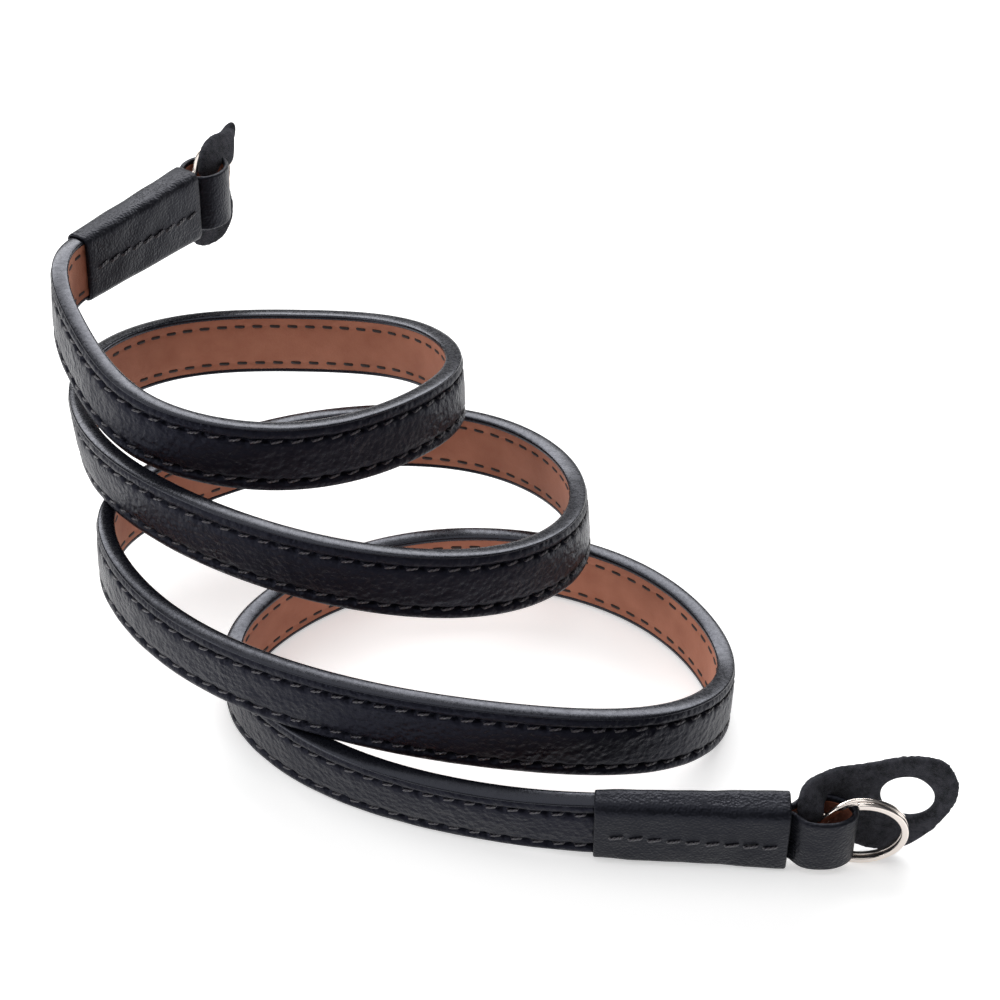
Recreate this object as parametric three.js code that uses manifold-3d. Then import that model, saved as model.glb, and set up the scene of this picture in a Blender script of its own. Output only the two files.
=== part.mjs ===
// A camera neck strap: a long narrow leather strap that stands on its edge in four wandering loops,
// with a sleeve, a folded end loop, a split ring and a lug tab at each end.
// Millimetres, +Z up. The origin is under the middle of the whole thing, on the surface it rests on.

import * as THREE from "three";
import { mergeVertices } from "three/addons/utils/BufferGeometryUtils.js";
import Module from "manifold-3d";

const wasm = await Module();
wasm.setup();

// ---- Driving sizes ------------------------------------------------------------------------------

const GAP = 0.3; // the air kept between two pieces that touch on the real strap

const STRAP = { width: 12.2, thick: 3.2, lining: 0.9, edge: 0.5, step: 4.2 };
const SLEEVE = { length: 31, corner: 1.2, reach: 14, slotWidth: 12.2, slotThick: 3.2 };
const SLEEVE_MOUTH = { width: 13.4, thick: 4.9 };
const SLEEVE_END = { width: 14.6, thick: 6.1 }; // wider, because the tails of the end loop fill it
const LOOP = { low: -5.8, high: 5.6 };
const RING = { outer: 7.4, inner: 6.3, coil: 0.8, slit: 0.1, edge: 0.22 };
const RING_TURN = { jog: 50, cutAt: 100, sides: 30 };
const TAB = { thick: 1.7, lugHole: 4.25 };
const EYE = { halfWide: 1.1, land: 0.32 }; // room for the ring's wire, and the suede on each side of it

// ---- Route of the strap -------------------------------------------------------------------------
// One row for each fold and crossing, from the far sleeve to the near one. x and y are on the
// surface, foot is the height of the lower edge above it, lean tips the top outwards, in degrees.

const ROUTE = [
  { fold: "far sleeve", x: -77, y: 4, foot: 43.5, lean: 0 },
  { fold: "left turn 1", x: -74, y: -21, foot: 40.5, lean: -5 },
  { fold: "left turn 1 leaves", x: -60, y: -38.8, foot: 36.8, lean: -5 },
  { fold: "front 1", x: -39, y: -42, foot: 33.5, lean: -4 },
  { fold: "right turn 1 enters", x: -16, y: -28, foot: 30, lean: -5 },
  { fold: "right turn 1", x: -8, y: -10, foot: 27, lean: -2 },
  { fold: "right turn 1 leaves", x: -14, y: 4, foot: 24.5, lean: 2 },
  { fold: "back 1", x: -37, y: 14, foot: 21.5, lean: 6 },
  { fold: "left turn 2 enters", x: -63, y: 11, foot: 21.5, lean: 7 },
  { fold: "left turn 2", x: -74, y: -2, foot: 23.5, lean: 6 },
  { fold: "left turn 2 leaves", x: -73.5, y: -25.5, foot: 25.3, lean: 5 },
  { fold: "front 2 enters", x: -54, y: -51, foot: 26.5, lean: 0 },
  { fold: "front 2", x: -24, y: -63, foot: 24, lean: -3 },
  { fold: "right turn 2 enters", x: 0.5, y: -58, foot: 19.5, lean: -5 },
  { fold: "right turn 2", x: 13, y: -42, foot: 15.5, lean: -4 },
  { fold: "right turn 2 leaves", x: 12, y: -22, foot: 13, lean: -4 },
  { fold: "back 2 enters", x: -1, y: -8, foot: 12, lean: 1 },
  { fold: "back 2", x: -29, y: -5, foot: 12, lean: 3 },
  { fold: "left turn 3 enters", x: -59, y: -20, foot: 12.5, lean: -1 },
  { fold: "left turn 3", x: -69, y: -36, foot: 13.5, lean: -3 },
  { fold: "left turn 3 leaves", x: -62.5, y: -57, foot: 13.5, lean: 0 },
  { fold: "front 3 enters", x: -36.5, y: -79, foot: 13, lean: 1 },
  { fold: "front 3", x: 3, y: -87, foot: 9.5, lean: 0 },
  { fold: "right turn 3 enters", x: 30, y: -80, foot: 4.5, lean: 1 },
  { fold: "right turn 3", x: 38, y: -67, foot: 1, lean: 2 },
  { fold: "right turn 3 leaves", x: 33, y: -47, foot: 0.3, lean: 1 },
  { fold: "back 3 enters", x: 13, y: -30, foot: 0.2, lean: -1 },
  { fold: "back 3", x: -15.5, y: -27.5, foot: 0.2, lean: -5 },
  { fold: "left turn 4 enters", x: -38, y: -41, foot: 0.2, lean: -5 },
  { fold: "left turn 4", x: -46, y: -59, foot: 0.2, lean: -1 },
  { fold: "left turn 4 leaves", x: -38, y: -75.5, foot: 0.2, lean: 4 },
  { fold: "front 4", x: -8, y: -93.3, foot: 0.5, lean: 12 },
  { fold: "near sleeve", x: 15, y: -98.2, foot: 1.3, lean: 9 },
];
const FAR_HEADING = { x: 0.559, y: 0.829, z: -0.026 }; // from the far mouth along its sleeve
const NEAR_HEADING = { x: 0.998, y: -0.05, z: 0 }; // from the near mouth along its sleeve

// The leather of an end loop, from one tail round the bend to the other: along the strap, across it
// towards the black side, and thickness. The last column is the extra bulge of the far loop.
const LOOP_FOLD = [
  { along: -14, across: 0.72, thick: 1.1, bulge: 0 },
  { along: -4, across: 0.72, thick: 1.1, bulge: 0 },
  { along: 0.3, across: 0.78, thick: 1.1, bulge: 0 },
  { along: 2.2, across: 2.4, thick: 1.2, bulge: 0.6 },
  { along: 5, across: 2.95, thick: 1.25, bulge: 1.2 },
  { along: 8.3, across: 2.3, thick: 1.25, bulge: 0.9 },
  { along: 10.2, across: 0.1, thick: 1.3, bulge: 0.3 },
  { along: 8.3, across: -2.2, thick: 1.25, bulge: -0.5 },
  { along: 5, across: -2.95, thick: 1.2, bulge: -0.8 },
  { along: 2.2, across: -2.4, thick: 1.2, bulge: -0.4 },
  { along: 0.3, across: -0.78, thick: 1.1, bulge: 0 },
  { along: -4, across: -0.72, thick: 1.1, bulge: 0 },
  { along: -14, across: -0.72, thick: 1.1, bulge: 0 },
];

// Each end's fittings, in the end's own axes: x along the strap and away from it, y up its width,
// z across it. A ring's place is its centre, with its turn about y. A tab's plane is z behind the
// loop where x is 0, and yaw turns it about y, pitch tips its top backwards. The eye is where the
// ring passes through the tab's tongue, and lean turns the tongue's fold in the tab's plane. bend is
// the fold's radius and root the flat length past it that joins the tab. The tongue runs from low to
// high along its fold, and below rim only the part round the ring's wire is left, clear of the loop.
// outline is the tab's flat part, anticlockwise.
const END_LIST = [
  {
    name: "near",
    outside: 1,
    bulge: 0,
    ring: { along: 11.6, up: 0.45, across: 0, yaw: 0 },
    tab: { back: 6.1, yaw: -7.4, pitch: 8, bend: 2, root: 1.2, lugAlong: 18.8, lugUp: 4.5 },
    eye: { along: 5.8, up: 4.6, lean: 42 },
    tongue: { low: -1.95, rim: 4.2, high: 5.5 },
    outline: [
      { along: 26.6, up: 5.5 },
      { along: 26, up: 9.5 },
      { along: 24, up: 12.2 },
      { along: 20.5, up: 13 },
      { along: 17, up: 12.2 },
      { along: 10.4, up: 9.6 },
      { along: 6.6, up: 9.3 },
      { along: 4, up: 8.8 },
      { along: 3.6, up: 6.4 },
      { along: 6, up: 1 },
      { along: 7.5, up: -3.5 },
      { along: 11, up: -6.8 },
      { along: 15, up: -7.7 },
      { along: 18.4, up: -7 },
      { along: 21.4, up: -4.7 },
      { along: 24.5, up: -0.2 },
    ],
  },
  {
    name: "far",
    outside: -1,
    bulge: 1,
    ring: { along: 8.7, up: 0.6, across: -2, yaw: 8 },
    tab: { back: 4.9, yaw: 0, pitch: 0, bend: 1.3, root: 1, lugAlong: 12.2, lugUp: -8.5 },
    eye: { along: 8, up: 7.4, lean: 5 },
    tongue: { low: -1.3, rim: -1.3, high: 1.5 },
    outline: [
      { along: 17.8, up: -12 },
      { along: 17.2, up: -6 },
      { along: 17, up: -1 },
      { along: 18.2, up: 2.8 },
      { along: 20, up: 7.6 },
      { along: 17.5, up: 7 },
      { along: 14, up: 6.8 },
      { along: 10.5, up: 7.4 },
      { along: 8.8, up: 7.6 },
      { along: 8.6, up: 4 },
      { along: 8.6, up: 0 },
      { along: 8.9, up: -5 },
      { along: 7.2, up: -7.8 },
      { along: 5.8, up: -10.5 },
      { along: 7, up: -13.6 },
      { along: 10.5, up: -15.4 },
      { along: 14, up: -15.4 },
    ],
  },
];

// ---- Materials ----------------------------------------------------------------------------------

function finish(color, roughness, metalness) {
  return new THREE.MeshStandardMaterial({ color, roughness, metalness });
}
const BLACK_LEATHER = finish("#1d1d21", 0.45, 0);
const TAN_LEATHER = finish("#a06a50", 0.8, 0);
const SLEEVE_LEATHER = finish("#1f2024", 0.5, 0);
const LOOP_LEATHER = finish("#232429", 0.5, 0);
const SUEDE = finish("#2b2c30", 0.95, 0);
const NICKEL = finish("#d9d4cf", 0.25, 1);

// ---- Helpers ------------------------------------------------------------------------------------

const UP = new THREE.Vector3(0, 0, 1);
const radians = THREE.MathUtils.degToRad;

// Second-derivative form of the cubic spline through values[i] at stops[i], whose end slopes are
// given, or left free where a slope is null. Returns a function of the stop.
function cubicSpline(stops, values, slopes) {
  const last = stops.length - 1;
  const gap = (i) => stops[i + 1] - stops[i];
  const rise = (i) => (values[i + 1] - values[i]) / gap(i);
  const below = new Array(last + 1).fill(0);
  const middle = new Array(last + 1).fill(1);
  const above = new Array(last + 1).fill(0);
  const right = new Array(last + 1).fill(0);
  for (let i = 1; i < last; i++) {
    below[i] = gap(i - 1);
    middle[i] = 2 * (gap(i - 1) + gap(i));
    above[i] = gap(i);
    right[i] = 6 * (rise(i) - rise(i - 1));
  }
  if (slopes[0] !== null) {
    middle[0] = 2 * gap(0);
    above[0] = gap(0);
    right[0] = 6 * (rise(0) - slopes[0]);
  }
  if (slopes[1] !== null) {
    below[last] = gap(last - 1);
    middle[last] = 2 * gap(last - 1);
    right[last] = 6 * (slopes[1] - rise(last - 1));
  }
  for (let i = 1; i <= last; i++) {
    const share = below[i] / middle[i - 1];
    middle[i] -= share * above[i - 1];
    right[i] -= share * right[i - 1];
  }
  const bend = new Array(last + 1);
  bend[last] = right[last] / middle[last];
  for (let i = last - 1; i >= 0; i--) {
    bend[i] = (right[i] - above[i] * bend[i + 1]) / middle[i];
  }
  return (stop) => {
    let i = stops.findIndex((s) => s > stop) - 1;
    if (i < 0) i = last - 1;
    const h = gap(i);
    const a = (stops[i + 1] - stop) / h;
    const b = (stop - stops[i]) / h;
    const curve = ((a ** 3 - a) * bend[i] + (b ** 3 - b) * bend[i + 1]) * (h * h) / 6;
    return a * values[i] + b * values[i + 1] + curve;
  };
}

// A closed body from rings of points that all have the same count, with a flat cap at each end.
function loft(rings) {
  const count = rings[0].length;
  const corners = rings.flat();
  const faces = [];
  for (let r = 0; r + 1 < rings.length; r++) {
    for (let k = 0; k < count; k++) {
      const a = r * count + k;
      const b = r * count + ((k + 1) % count);
      faces.push(a, b, b + count, a, b + count, a + count);
    }
  }
  const end = (rings.length - 1) * count;
  for (let k = 1; k + 1 < count; k++) {
    faces.push(0, k + 1, k, end, end + k, end + k + 1);
  }
  const geometry = new THREE.BufferGeometry().setFromPoints(corners);
  geometry.setIndex(faces);
  return facingOut(geometry);
}

// Turns the faces of a closed mesh outwards: its signed volume has to be positive.
function facingOut(geometry) {
  const place = geometry.getAttribute("position");
  const index = Array.from(geometry.getIndex().array);
  const [a, b, c] = [new THREE.Vector3(), new THREE.Vector3(), new THREE.Vector3()];
  let volume = 0;
  for (let i = 0; i < index.length; i += 3) {
    a.fromBufferAttribute(place, index[i]);
    b.fromBufferAttribute(place, index[i + 1]);
    c.fromBufferAttribute(place, index[i + 2]);
    volume += a.dot(b.cross(c));
  }
  if (volume < 0) {
    for (let i = 0; i < index.length; i += 3) {
      [index[i + 1], index[i + 2]] = [index[i + 2], index[i + 1]];
    }
    geometry.setIndex(index);
  }
  geometry.computeVertexNormals();
  return geometry;
}

// Position-only geometry with its shared corners merged.
function welded(geometry) {
  const bare = geometry.clone();
  bare.deleteAttribute("normal");
  bare.deleteAttribute("uv");
  return mergeVertices(bare, 1e-4);
}

function toSolid(geometry) {
  const bare = facingOut(welded(geometry));
  const vertProperties = new Float32Array(bare.getAttribute("position").array);
  const triVerts = new Uint32Array(bare.getIndex().array);
  return new wasm.Manifold(new wasm.Mesh({ numProp: 3, vertProperties, triVerts }));
}

function fromSolid(solid) {
  const mesh = solid.getMesh();
  const geometry = new THREE.BufferGeometry();
  geometry.setAttribute("position", new THREE.BufferAttribute(mesh.vertProperties, 3));
  geometry.setIndex(new THREE.BufferAttribute(mesh.triVerts, 1));
  return facingOut(geometry);
}

// A prism of the outline, from z = low to z = high.
function prism(outline, low, high, curveSegments = 4) {
  const options = { depth: high - low, bevelEnabled: false, curveSegments };
  return new THREE.ExtrudeGeometry(outline, options).translate(0, 0, low);
}

function boxShape(x0, x1, y0, y1) {
  return new THREE.Shape([[x0, y0], [x1, y0], [x1, y1], [x0, y1]].map(([x, y]) => new THREE.Vector2(x, y)));
}

// ---- Route --------------------------------------------------------------------------------------

// The strap's stations: a centre, its across direction W (up the strap) and its face direction N.
function strapStations() {
  const half = STRAP.width / 2;
  const place = ROUTE.map((row) => new THREE.Vector3(row.x, row.y, row.foot + half));
  const stops = [0];
  for (let i = 1; i < place.length; i++) {
    stops.push(stops[i - 1] + place[i].distanceTo(place[i - 1]));
  }
  const spline = (axis) => {
    const slopes = [-FAR_HEADING[axis], NEAR_HEADING[axis]];
    return cubicSpline(stops, place.map((p) => p[axis]), slopes);
  };
  const [x, y, z] = [spline("x"), spline("y"), spline("z")];
  const lean = cubicSpline(stops, ROUTE.map((row) => row.lean), [null, null]);
  const at = (stop) => new THREE.Vector3(x(stop), y(stop), z(stop));
  const nudge = 0.01;
  const length = stops.at(-1);
  const station = (stop) => {
    const back = Math.max(stop - nudge, 0);
    const heading = at(Math.min(stop + nudge, length)).sub(at(back)).normalize();
    return turnedStation(at(stop), heading, lean(stop));
  };
  const count = Math.round(length / STRAP.step);
  const list = [];
  for (let i = 0; i <= count; i++) {
    list.push(station(GAP + ((length - 2 * GAP) * i) / count));
  }
  const farMouth = turnedStation(place[0], new THREE.Vector3().copy(FAR_HEADING).negate(), ROUTE[0].lean);
  const nearMouth = turnedStation(place.at(-1), new THREE.Vector3().copy(NEAR_HEADING), ROUTE.at(-1).lean);
  return { list, farMouth, nearMouth };
}

function turnedStation(centre, heading, leanDegrees) {
  const T = heading.clone().normalize();
  const out = T.clone().cross(UP).normalize();
  const rise = out.clone().cross(T);
  const a = radians(leanDegrees);
  const W = rise.clone().multiplyScalar(Math.cos(a)).addScaledVector(out, Math.sin(a));
  const N = out.multiplyScalar(Math.cos(a)).addScaledVector(rise, -Math.sin(a));
  return { centre: centre.clone(), T, W, N };
}

// The same station moved along its own heading.
function slid(station, distance) {
  return { ...station, centre: station.centre.clone().addScaledVector(station.T, distance) };
}

// A section given as (w, n) pairs, set at a station.
function sectionAt(station, pairs) {
  return pairs.map(([w, n]) =>
    station.centre.clone().addScaledVector(station.W, w).addScaledVector(station.N, n));
}

// A layer of the strap: its full section on the free length, and a skived one inside the sleeves.
function strapLayer(route, full, skived) {
  const tail = SLEEVE.reach;
  const first = route.list[0];
  const last = route.list.at(-1);
  return loft([
    sectionAt(slid(route.farMouth, -tail), skived),
    sectionAt(first, skived),
    ...route.list.map((station) => sectionAt(station, full)),
    sectionAt(last, skived),
    sectionAt(slid(route.nearMouth, tail), skived),
  ]);
}

function leatherSection(halfWidth, face, back, edge) {
  return [
    [-halfWidth, back],
    [halfWidth, back],
    [halfWidth, face - edge],
    [halfWidth - edge, face],
    [-halfWidth + edge, face],
    [-halfWidth, face - edge],
  ];
}

// It starts on the face that lies on the leather, so that both layers' facets fold the same way.
function liningSection(halfWidth, face, back) {
  return [[-halfWidth, face], [halfWidth, face], [halfWidth, back], [-halfWidth, back]];
}

// ---- End fittings -------------------------------------------------------------------------------
// Each is made in the end's own axes. "outside" is +1 where z points to the black side of the strap
// and -1 where it points to the lining.

// The corners of a rectangle with rounded corners, as (y, z) pairs, anticlockwise.
function roundedRectangle(width, thick, corner, perCorner) {
  const pairs = [];
  for (const [sideY, sideZ, start] of [[1, 1, 0], [-1, 1, 90], [-1, -1, 180], [1, -1, 270]]) {
    for (let i = 0; i <= perCorner; i++) {
      const angle = radians(start + (90 * i) / perCorner);
      pairs.push([
        sideY * (width / 2 - corner) + corner * Math.cos(angle),
        sideZ * (thick / 2 - corner) + corner * Math.sin(angle),
      ]);
    }
  }
  return pairs;
}

// A tapered tube with a slot through it, from the mouth at x = -length to its end at x = 0.
function sleeve() {
  const { length, corner, slotWidth, slotThick } = SLEEVE;
  const ring = (x, { width, thick }) =>
    roundedRectangle(width, thick, corner, 4).map(([y, z]) => new THREE.Vector3(x, y, z));
  const outer = loft([ring(-length, SLEEVE_MOUTH), ring(0, SLEEVE_END)]);
  const slot = new THREE.BoxGeometry(length + 2, slotWidth, slotThick).translate(-length / 2, 0, 0);
  return fromSolid(toSolid(outer).subtract(toSolid(slot)));
}

// The ring's place in the end's axes.
function ringPlace({ ring }) {
  const turn = new THREE.Euler(0, radians(ring.yaw), 0);
  return new THREE.Matrix4().makeRotationFromEuler(turn).setPosition(ring.along, ring.up, ring.across);
}

// The tab's place in the end's axes, tipped back and then turned.
function tabPlace({ tab }) {
  const turn = new THREE.Euler(-radians(tab.pitch), radians(tab.yaw), 0, "YXZ");
  return new THREE.Matrix4().makeRotationFromEuler(turn).setPosition(0, 0, -tab.back);
}

// The space that a ring takes, with a gap all round, in the axes where the ring is at the given place.
function ringRoom(place) {
  const [inside, outside] = [RING.inner - GAP, RING.outer + GAP];
  const high = RING.coil + RING.slit / 2 + GAP;
  const section = [[inside, -high], [outside, -high], [outside, high], [inside, high], [inside, -high]];
  const room = new THREE.LatheGeometry(section.map(([r, h]) => new THREE.Vector2(r, h)), 48);
  return toSolid(room.rotateX(Math.PI / 2).applyMatrix4(place));
}

// A strip folded round the ring: the fold's two faces lie half a thickness either side of its line.
// Where the ring crosses the strip's edges it presses a dent into them.
function endLoop(end) {
  const rows = LOOP_FOLD.map((row) => {
    const across = end.outside * (row.across + end.bulge * row.bulge);
    return new THREE.Vector3(row.along, across, row.thick);
  });
  const line = new THREE.CatmullRomCurve3(rows, false, "centripetal");
  const steps = 44;
  const [over, under] = [[], []];
  for (let i = 0; i <= steps; i++) {
    const p = line.getPoint(i / steps);
    const t = line.getTangent(i / steps);
    const side = new THREE.Vector2(-t.y, t.x).normalize().multiplyScalar(p.z / 2);
    over.push(new THREE.Vector2(p.x + side.x, p.y + side.y));
    under.push(new THREE.Vector2(p.x - side.x, p.y - side.y));
  }
  const strip = prism(new THREE.Shape([...over, ...under.reverse()]), LOOP.low, LOOP.high);
  const upright = new THREE.Matrix4().set(1, 0, 0, 0, 0, 0, 1, 0, 0, 1, 0, 0, 0, 0, 0, 1);
  return fromSolid(toSolid(strip.applyMatrix4(upright)).subtract(ringRoom(ringPlace(end))));
}

// Two flat coils of one wire: it runs round once, steps over in the jog, and runs round again.
function splitRing() {
  const { outer, inner, coil, slit, edge } = RING;
  const { jog, cutAt, sides } = RING_TURN;
  const half = coil / 2;
  const offset = half + slit / 2;
  const section = [
    [inner, -half],
    [outer - edge, -half],
    [outer, -half + edge],
    [outer, half - edge],
    [outer - edge, half],
    [inner, half],
  ];
  const sweep = 720 - jog;
  const steps = Math.round((sides * sweep) / 360);
  const rings = [];
  for (let i = 0; i <= steps; i++) {
    const turn = (sweep * i) / steps;
    const share = THREE.MathUtils.smoothstep(turn, 360 - jog, 360);
    const z = THREE.MathUtils.lerp(-offset, offset, share);
    const angle = radians(turn - (360 - jog) + cutAt);
    rings.push(section.map(([r, h]) => new THREE.Vector3(r * Math.cos(angle), r * Math.sin(angle), z + h)));
  }
  return loft(rings);
}

// A pad of suede behind the ring. Its corner folds forwards over the end loop's rim, and a tongue
// of that fold reaches down into the loop, where the ring passes through its eye.
function lugTab(end) {
  const half = TAB.thick / 2;
  const { bend, root, lugAlong, lugUp } = end.tab;
  const rows = end.outline.map((row) => new THREE.Vector3(row.along, row.up, 0));
  const rim = new THREE.CatmullRomCurve3(rows, true, "centripetal").getPoints(48).slice(0, -1);
  const flat = new THREE.Shape(rim.map((p) => new THREE.Vector2(p.x, p.y)));
  flat.holes.push(new THREE.Path().absarc(lugAlong, lugUp, TAB.lugHole, 0, 2 * Math.PI));

  // the ring's wire at the eye, in the tab's own turned axes, then the fold's section: x runs away
  // from the fold and y forwards
  const toTab = tabPlace(end).invert();
  const ring = ringPlace(end);
  const wire = new THREE.Vector3(end.eye.along - end.ring.along, end.eye.up - end.ring.up, 0);
  wire.applyMatrix4(ring).applyMatrix4(toTab);
  const forwards = wire.z;
  const front = forwards + EYE.halfWide + EYE.land;
  const fold = new THREE.Shape();
  fold.moveTo(bend + root, -half);
  fold.lineTo(bend + root, half);
  fold.lineTo(bend, half);
  fold.absarc(bend, bend, bend - half, -Math.PI / 2, -Math.PI, true);
  fold.lineTo(half, front);
  fold.lineTo(-half, front);
  fold.lineTo(-half, bend);
  fold.absarc(bend, bend, bend + half, Math.PI, 1.5 * Math.PI);
  const { low, rim: rimHigh, high } = end.tongue;
  const foldSolid = toSolid(prism(fold, low, high, 6));
  const back = forwards - EYE.halfWide - EYE.land;
  const far = 20;
  const overLoop = toSolid(prism(boxShape(-far, far, -far, back), low - 1, rimHigh));
  const turn = radians(end.eye.lean);
  const [cos, sin] = [Math.cos(turn), Math.sin(turn)];
  const hooked = fromSolid(foldSolid.subtract(overLoop)).applyMatrix4(
    new THREE.Matrix4().set(
      cos, 0, -sin, wire.x,
      sin, 0, cos, wire.y,
      0, 1, 0, 0,
      0, 0, 0, 1,
    ),
  );
  const whole = toSolid(prism(flat, -half, half, 8)).add(toSolid(hooked));
  return fromSolid(whole.subtract(ringRoom(toTab.multiply(ring))));
}

// ---- Assembly -----------------------------------------------------------------------------------

function named(name, geometry, material) {
  const mesh = new THREE.Mesh(geometry, material);
  mesh.name = name;
  return mesh;
}

// The group of one end, whose origin is the middle of its sleeve's outer end.
function endGroup(end, mouth) {
  const away = mouth.T.clone().multiplyScalar(end.outside);
  const across = mouth.N.clone().multiplyScalar(end.outside);
  const origin = mouth.centre.clone().addScaledVector(away, SLEEVE.length);
  const group = new THREE.Group();
  group.applyMatrix4(new THREE.Matrix4().makeBasis(away, mouth.W, across).setPosition(origin));
  group.add(named(`sleeve_${end.name}`, sleeve(), SLEEVE_LEATHER));
  group.add(named(`end_loop_${end.name}`, endLoop(end), LOOP_LEATHER));
  const ring = named(`split_ring_${end.name}`, splitRing(), NICKEL);
  ring.applyMatrix4(ringPlace(end));
  group.add(ring);
  const tab = named(`lug_tab_${end.name}`, lugTab(end), SUEDE);
  tab.applyMatrix4(tabPlace(end));
  group.add(tab);
  return group;
}

const route = strapStations();
const half = { width: STRAP.width / 2, thick: STRAP.thick / 2 };
const liningFace = -half.thick + STRAP.lining;
const leatherBack = liningFace + GAP;
const strap = new THREE.Group();
strap.add(named("strap_leather", strapLayer(
  route,
  leatherSection(half.width, half.thick, leatherBack, STRAP.edge),
  leatherSection(half.width - GAP, half.thick - GAP, leatherBack, GAP),
), BLACK_LEATHER));
strap.add(named("strap_lining", strapLayer(
  route,
  liningSection(half.width - GAP, liningFace, -half.thick),
  liningSection(half.width - 2 * GAP, liningFace, -half.thick + GAP),
), TAN_LEATHER));
const mouths = { near: route.nearMouth, far: route.farMouth };
for (const end of END_LIST) strap.add(endGroup(end, mouths[end.name]));

// The origin goes under the middle of the whole strap, at its lowest point.
strap.updateMatrixWorld(true);
const extent = new THREE.Box3().setFromObject(strap, true);
const middle = extent.getCenter(new THREE.Vector3());
strap.position.set(-middle.x, -middle.y, -extent.min.z);

export default strap;
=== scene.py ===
# %% [markdown]
# # Camera neck strap
# A narrow strap of black leather, lined with tan leather, stands on its edge in four loose loops. Each
# end goes into a leather sleeve. A folded leather loop comes out of the sleeve and holds a split ring,
# and a suede tab on the ring keeps it from scratching the camera.
# Sizes are in millimetres until a mesh is made, because the real piece is thought of that way.

import math

import bpy
import numpy as np
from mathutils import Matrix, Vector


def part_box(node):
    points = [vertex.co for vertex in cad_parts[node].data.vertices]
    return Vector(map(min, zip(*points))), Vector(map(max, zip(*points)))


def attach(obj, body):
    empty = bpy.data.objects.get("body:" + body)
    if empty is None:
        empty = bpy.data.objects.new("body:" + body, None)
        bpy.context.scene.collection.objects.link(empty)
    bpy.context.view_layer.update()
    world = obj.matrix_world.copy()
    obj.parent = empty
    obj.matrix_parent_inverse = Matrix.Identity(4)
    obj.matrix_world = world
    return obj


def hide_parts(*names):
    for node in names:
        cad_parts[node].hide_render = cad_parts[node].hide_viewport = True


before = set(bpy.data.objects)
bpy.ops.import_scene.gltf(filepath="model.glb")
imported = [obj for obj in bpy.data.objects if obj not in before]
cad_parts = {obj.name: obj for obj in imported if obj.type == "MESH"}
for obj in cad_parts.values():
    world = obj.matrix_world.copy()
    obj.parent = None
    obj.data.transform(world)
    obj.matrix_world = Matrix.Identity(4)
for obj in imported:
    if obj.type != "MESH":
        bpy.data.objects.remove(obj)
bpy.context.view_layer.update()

MM = 0.001
UP = np.array([0.0, 0.0, 1.0])
GAP = 0.3
HALF_WIDTH = 6.1
HALF_THICK = 1.6
SLEEVE_LENGTH = 31.0
SLEEVE_REACH = 14.0
print("frame nodes:", ", ".join(sorted(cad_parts)))

# %% [markdown]
# ## The route of the strap
# The strap is far stiffer across its width than across its thickness, so it never kinks: its middle
# line is a smooth spline through the turns and crossings, and its top tips in or out by a few degrees.
# The route is the same as the frame's, so that every piece lies on its own solid.

# %% Route table and spline
# x and y lie on the surface, foot is the height of the lower edge, and lean tips the top in degrees
ROUTE_COLUMNS = ("x", "y", "foot", "lean")
ROUTE = np.array([
    (-77, 4, 43.5, 0),          # far sleeve
    (-74, -21, 40.5, -5),       # left turn 1
    (-60, -38.8, 36.8, -5),
    (-39, -42, 33.5, -4),       # front 1
    (-16, -28, 30, -5),
    (-8, -10, 27, -2),          # right turn 1
    (-14, 4, 24.5, 2),
    (-37, 14, 21.5, 6),         # back 1
    (-63, 11, 21.5, 7),
    (-74, -2, 23.5, 6),         # left turn 2
    (-73.5, -25.5, 25.3, 5),
    (-54, -51, 26.5, 0),
    (-24, -63, 24, -3),         # front 2
    (0.5, -58, 19.5, -5),
    (13, -42, 15.5, -4),        # right turn 2
    (12, -22, 13, -4),
    (-1, -8, 12, 1),
    (-29, -5, 12, 3),           # back 2
    (-59, -20, 12.5, -1),
    (-69, -36, 13.5, -3),       # left turn 3
    (-62.5, -57, 13.5, 0),
    (-36.5, -79, 13, 1),
    (3, -87, 9.5, 0),           # front 3
    (30, -80, 4.5, 1),
    (38, -67, 1, 2),            # right turn 3
    (33, -47, 0.3, 1),
    (13, -30, 0.2, -1),
    (-15.5, -27.5, 0.2, -5),    # back 3
    (-38, -41, 0.2, -5),
    (-46, -59, 0.2, -1),        # left turn 4
    (-38, -75.5, 0.2, 4),
    (-8, -93.3, 0.5, 12),       # front 4
    (15, -98.2, 1.3, 9),        # near sleeve
], float)
FAR_HEADING = np.array([0.559, 0.829, -0.026])
NEAR_HEADING = np.array([0.998, -0.05, 0.0])


def unit(vectors):
    """v / |v| for each row."""
    return vectors / np.linalg.norm(vectors, axis=-1, keepdims=True)


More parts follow.
